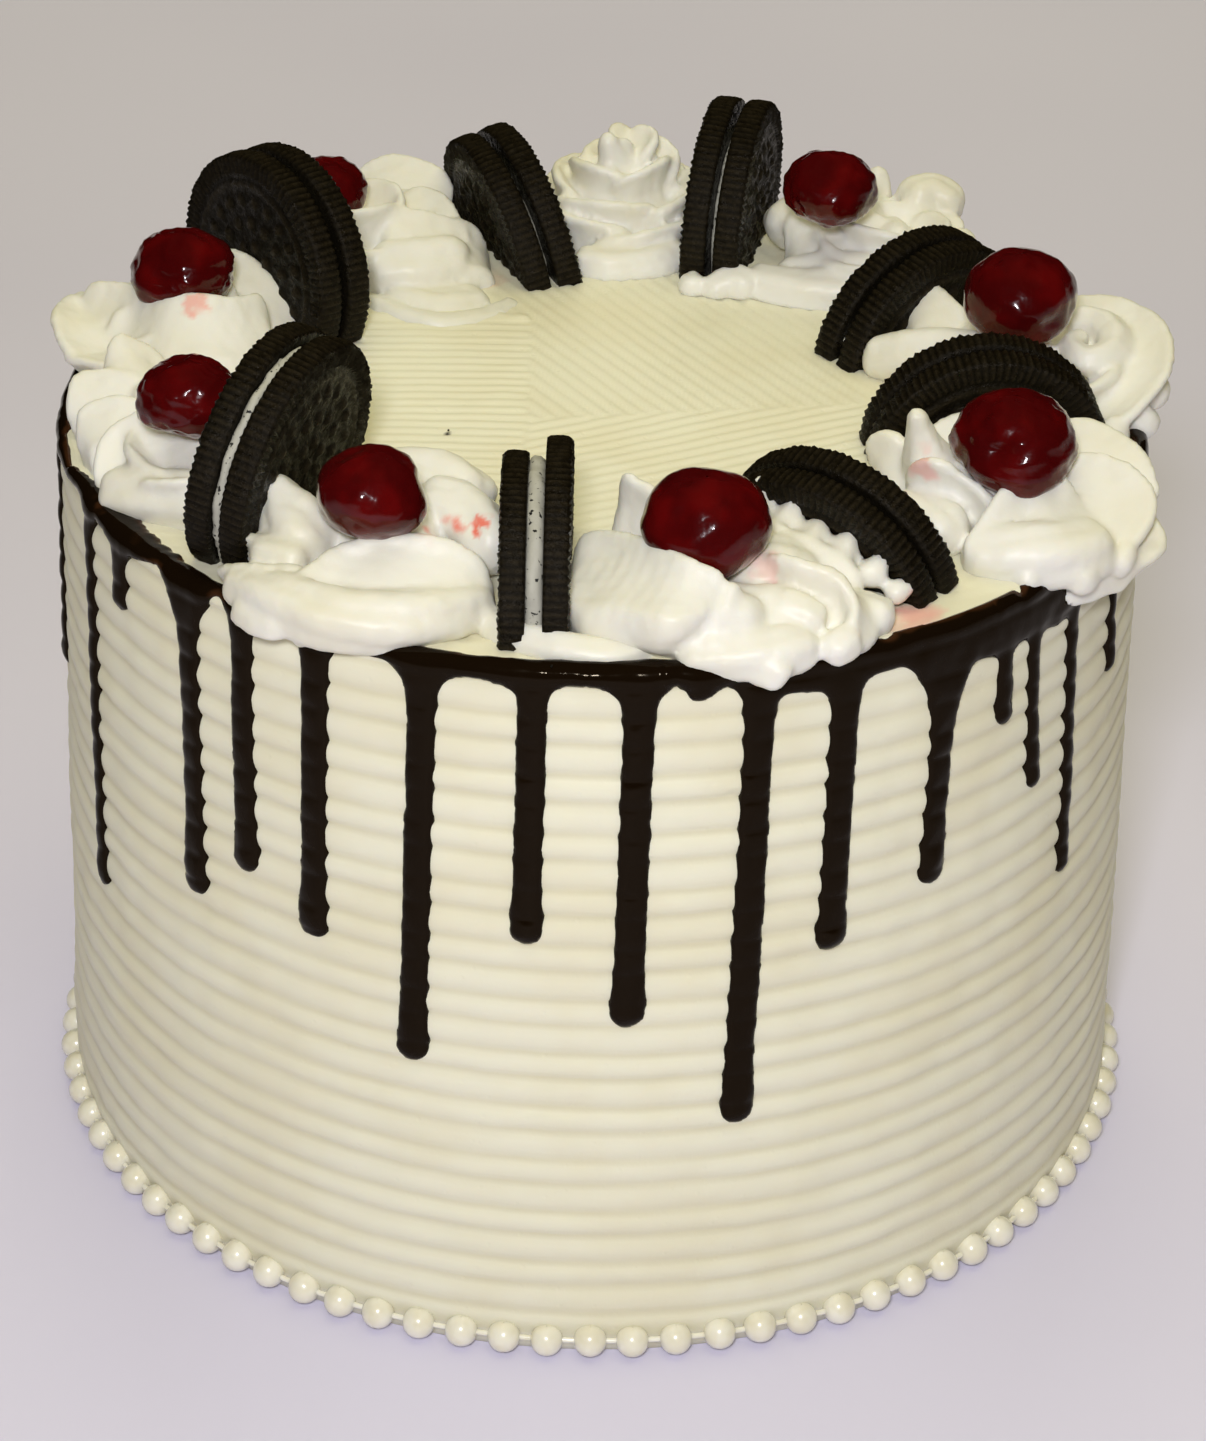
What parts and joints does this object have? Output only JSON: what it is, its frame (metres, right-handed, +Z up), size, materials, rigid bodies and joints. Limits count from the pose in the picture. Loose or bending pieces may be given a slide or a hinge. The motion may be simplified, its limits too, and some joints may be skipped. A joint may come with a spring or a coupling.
{
  "type": "drip cake",
  "caption": "Tall round cream cake with a combed side, dark chocolate drips over the rim, piped rosettes, sandwich biscuits on edge, cherries and a pearl string round its foot.",
  "frame": {"origin": "centre of the cake's flat underside, at the level it rests on", "axes": "+Z up; the front of the pictured view faces -Y and +X is to its right"},
  "size_m": [0.2106, 0.2092, 0.1739],
  "materials": {
    "icing": "soft, slightly waxy cream icing",
    "cream": "soft whipped cream",
    "chocolate": "glossy dark chocolate",
    "wafer": "dry dark baked biscuit",
    "filling": "white biscuit cream",
    "cherry": "wet glossy dark red",
    "pearl": "pearly ivory"
  },
  "bodies": {
    "root": {"cake": "icing", "chocolate": "chocolate", "rosette_1": "cream", "rosette_2": "cream", "rosette_3": "cream", "rosette_4": "cream", "rosette_5": "cream", "rosette_6": "cream", "rosette_7": "cream", "rosette_8": "cream", "rosette_9": "cream", "biscuit_1_wafer_left": "wafer", "biscuit_1_wafer_right": "wafer", "biscuit_1_filling": "filling", "biscuit_2_wafer_left": "wafer", "biscuit_2_wafer_right": "wafer", "biscuit_2_filling": "filling", "biscuit_3_wafer_left": "wafer", "biscuit_3_wafer_right": "wafer", "biscuit_3_filling": "filling", "biscuit_4_wafer_left": "wafer", "biscuit_4_wafer_right": "wafer", "biscuit_4_filling": "filling", "biscuit_5_wafer_left": "wafer", "biscuit_5_wafer_right": "wafer", "biscuit_5_filling": "filling", "biscuit_6_wafer_left": "wafer", "biscuit_6_wafer_right": "wafer", "biscuit_6_filling": "filling", "biscuit_7_wafer_left": "wafer", "biscuit_7_wafer_right": "wafer", "biscuit_7_filling": "filling", "biscuit_8_wafer_left": "wafer", "biscuit_8_wafer_right": "wafer", "biscuit_8_filling": "filling", "cherry_1": "cherry", "cherry_2": "cherry", "cherry_3": "cherry", "cherry_4": "cherry", "cherry_5": "cherry", "cherry_6": "cherry", "cherry_7": "cherry", "cherry_8": "cherry", "pearls": "pearl"}
  },
  "joints": []
}
